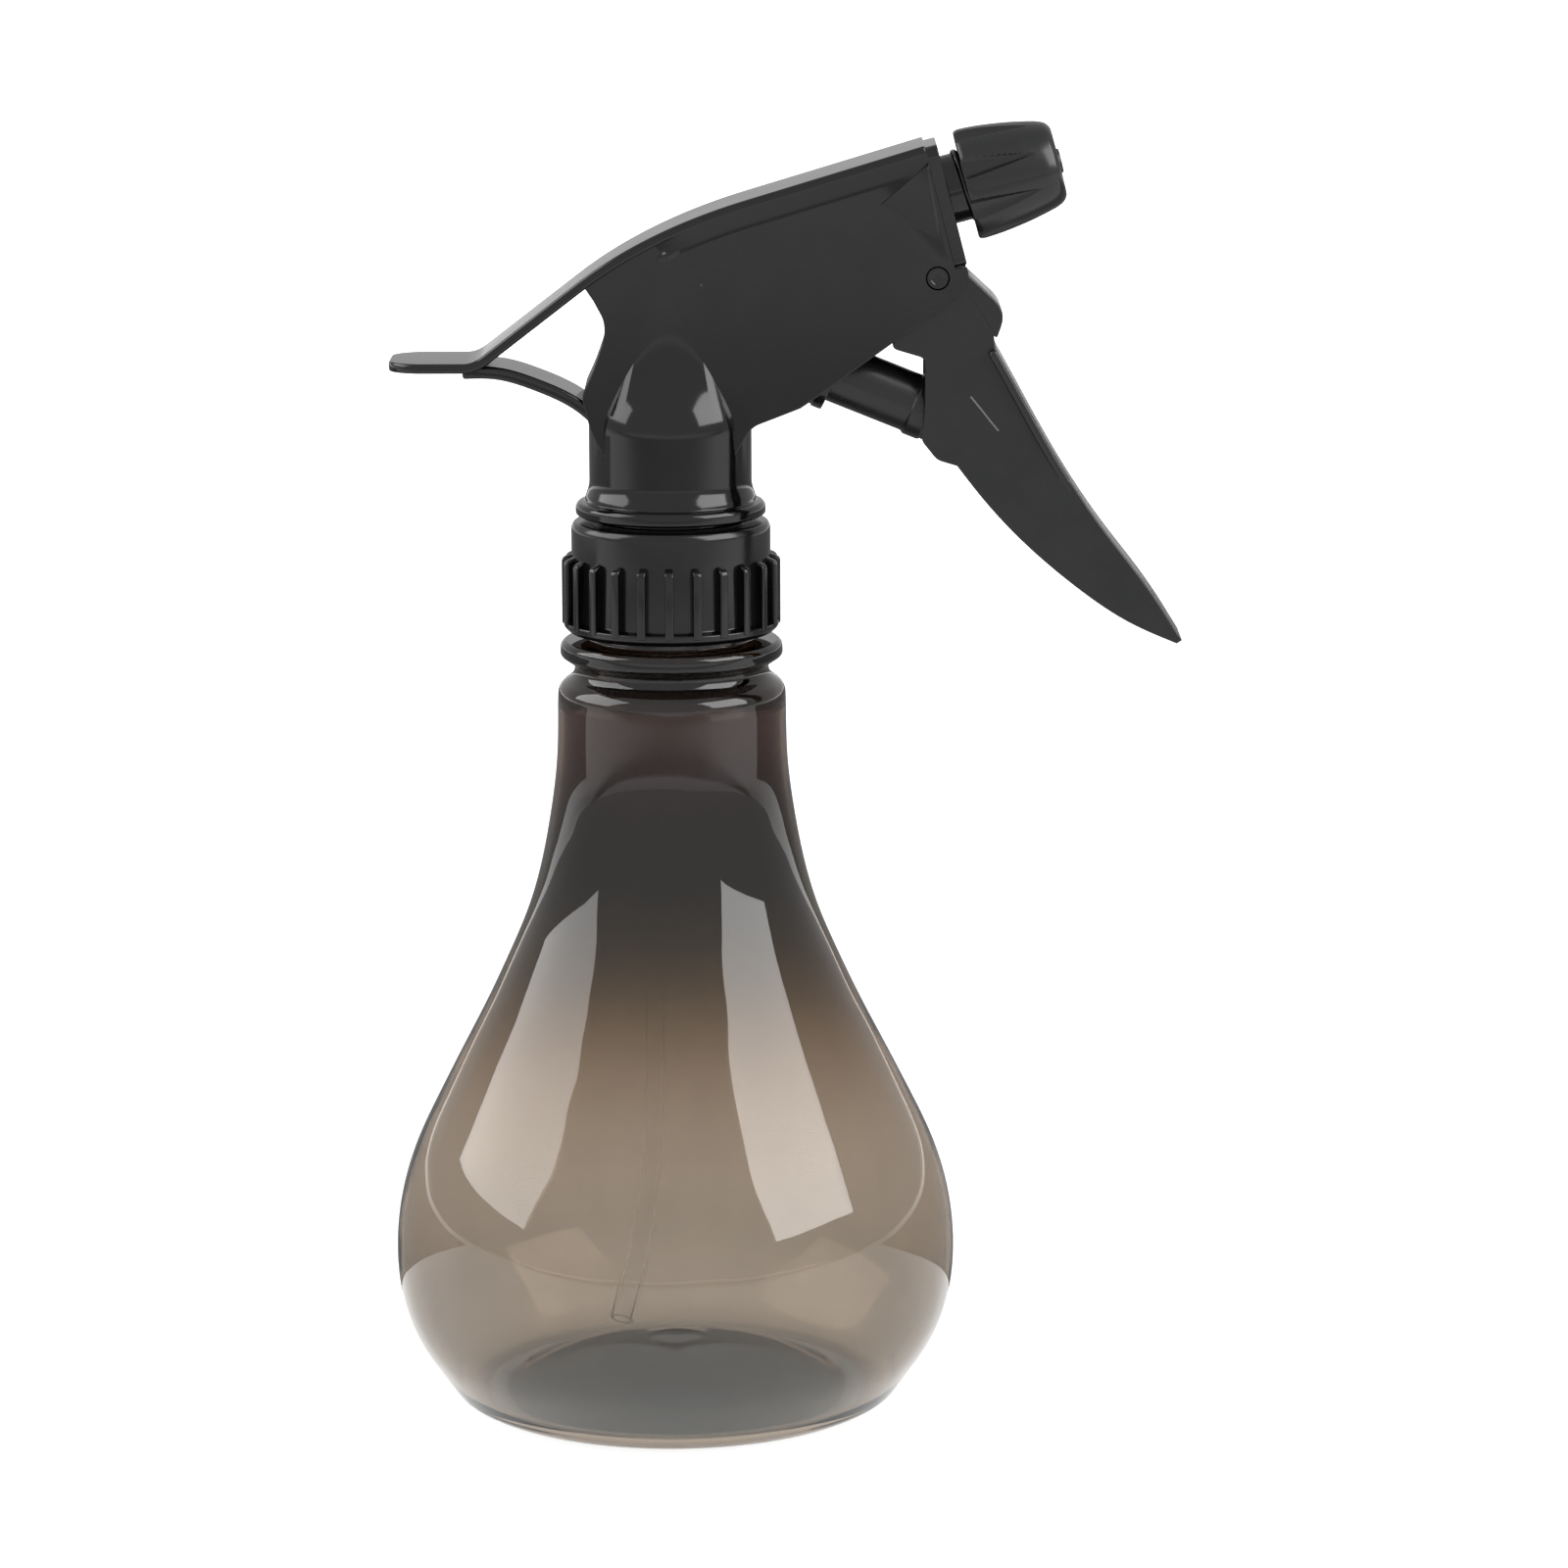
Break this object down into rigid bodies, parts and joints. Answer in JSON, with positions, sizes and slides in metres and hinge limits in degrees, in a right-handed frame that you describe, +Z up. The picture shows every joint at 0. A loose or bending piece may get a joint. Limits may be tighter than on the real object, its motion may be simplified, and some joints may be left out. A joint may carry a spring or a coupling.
{
  "type": "hand mister",
  "caption": "Pear-shaped smoky bottle with a black trigger spray head, ribbed screw closure, adjustable nozzle cap and working pump inside.",
  "frame": {"origin": "on the surface the bottle stands on, under the middle of the whole mister's box; the bottle's axis is at X = -17.1 mm", "axes": "+X the way the nozzle points, +Z up along the bottle; the XZ plane is the middle plane that the trigger swings in"},
  "size_m": [0.1204, 0.0862, 0.1972],
  "materials": {
    "smoked_bottle": "clear smoky brown blown plastic",
    "black_gloss": "glossy moulded plastic",
    "black_ribbed": "satin moulded plastic",
    "natural_plastic": "uncoloured moulded plastic",
    "clear_tube": "clear extruded tube",
    "grey_seal": "matte elastomer",
    "steel": "bright stainless"
  },
  "bodies": {
    "bottle": {"bottle": "smoked_bottle"},
    "head": {"head_shell": "black_gloss", "pump_body": "black_gloss", "front_plate": "black_gloss", "discharge_tube": "natural_plastic", "swirl_core": "natural_plastic", "tube_adapter": "natural_plastic", "dip_tube": "clear_tube", "pivot_pin": "black_gloss", "neck_gasket": "grey_seal", "return_spring": "steel", "outlet_spring": "steel"},
    "closure": {"closure": "black_ribbed"},
    "trigger": {"trigger": "black_gloss"},
    "piston": {"piston": "black_gloss", "piston_seal": "grey_seal", "vent_seal": "grey_seal"},
    "inlet_ball": {"inlet_ball": "steel"},
    "outlet_valve": {"outlet_valve": "grey_seal"},
    "nozzle_ring": {"nozzle_seal": "grey_seal"},
    "nozzle_cap": {"nozzle_cap": "black_gloss"}
  },
  "joints": [
    {"name": "head_lift", "type": "slide", "parent": "bottle", "child": "head", "axis": [0, 0, 1], "range_m": [0, 0.0063]},
    {"name": "closure_turn", "type": "hinge", "parent": "head", "child": "closure", "pos_m": [-0.0171, 0, 0.128], "axis": [0, 0, 1], "range_deg": [0, 540]},
    {"name": "trigger_pull", "type": "hinge", "parent": "head", "child": "trigger", "pos_m": [0.0231, 0, 0.1745], "axis": [0, 1, 0], "range_deg": [0, 24]},
    {"name": "piston_slide", "type": "slide", "parent": "head", "child": "piston", "axis": [-0.9272, 0, 0.3746], "range_m": [0, 0.00876], "stiffness_N_per_m": 600, "springref_m": -0.008, "deforming": ["return_spring"]},
    {"name": "inlet_ball_lift", "type": "slide", "parent": "head", "child": "inlet_ball", "axis": [0, 0, 1], "range_m": [0, 0.0018]},
    {"name": "outlet_valve_lift", "type": "slide", "parent": "head", "child": "outlet_valve", "axis": [0.9686, 0, 0.2487], "range_m": [0, 0.001], "stiffness_N_per_m": 200, "springref_m": -0.002, "deforming": ["outlet_spring"]},
    {"name": "nozzle_travel", "type": "slide", "parent": "head", "child": "nozzle_ring", "axis": [0.9686, 0, 0.2487], "range_m": [-0.0015, 0.0015]},
    {"name": "nozzle_turn", "type": "hinge", "parent": "nozzle_ring", "child": "nozzle_cap", "pos_m": [0.0248, 0, 0.187], "axis": [0.9686, 0, 0.2487], "range_deg": [-270, 270]}
  ],
  "couplings": [
    {"joint": "closure_turn", "follows": "head_lift", "rad_per_m": 1496},
    {"joint": "trigger_pull", "follows": "piston_slide", "rad_per_m": 47.8},
    {"joint": "nozzle_turn", "follows": "nozzle_travel", "rad_per_m": 3141.6}
  ]
}
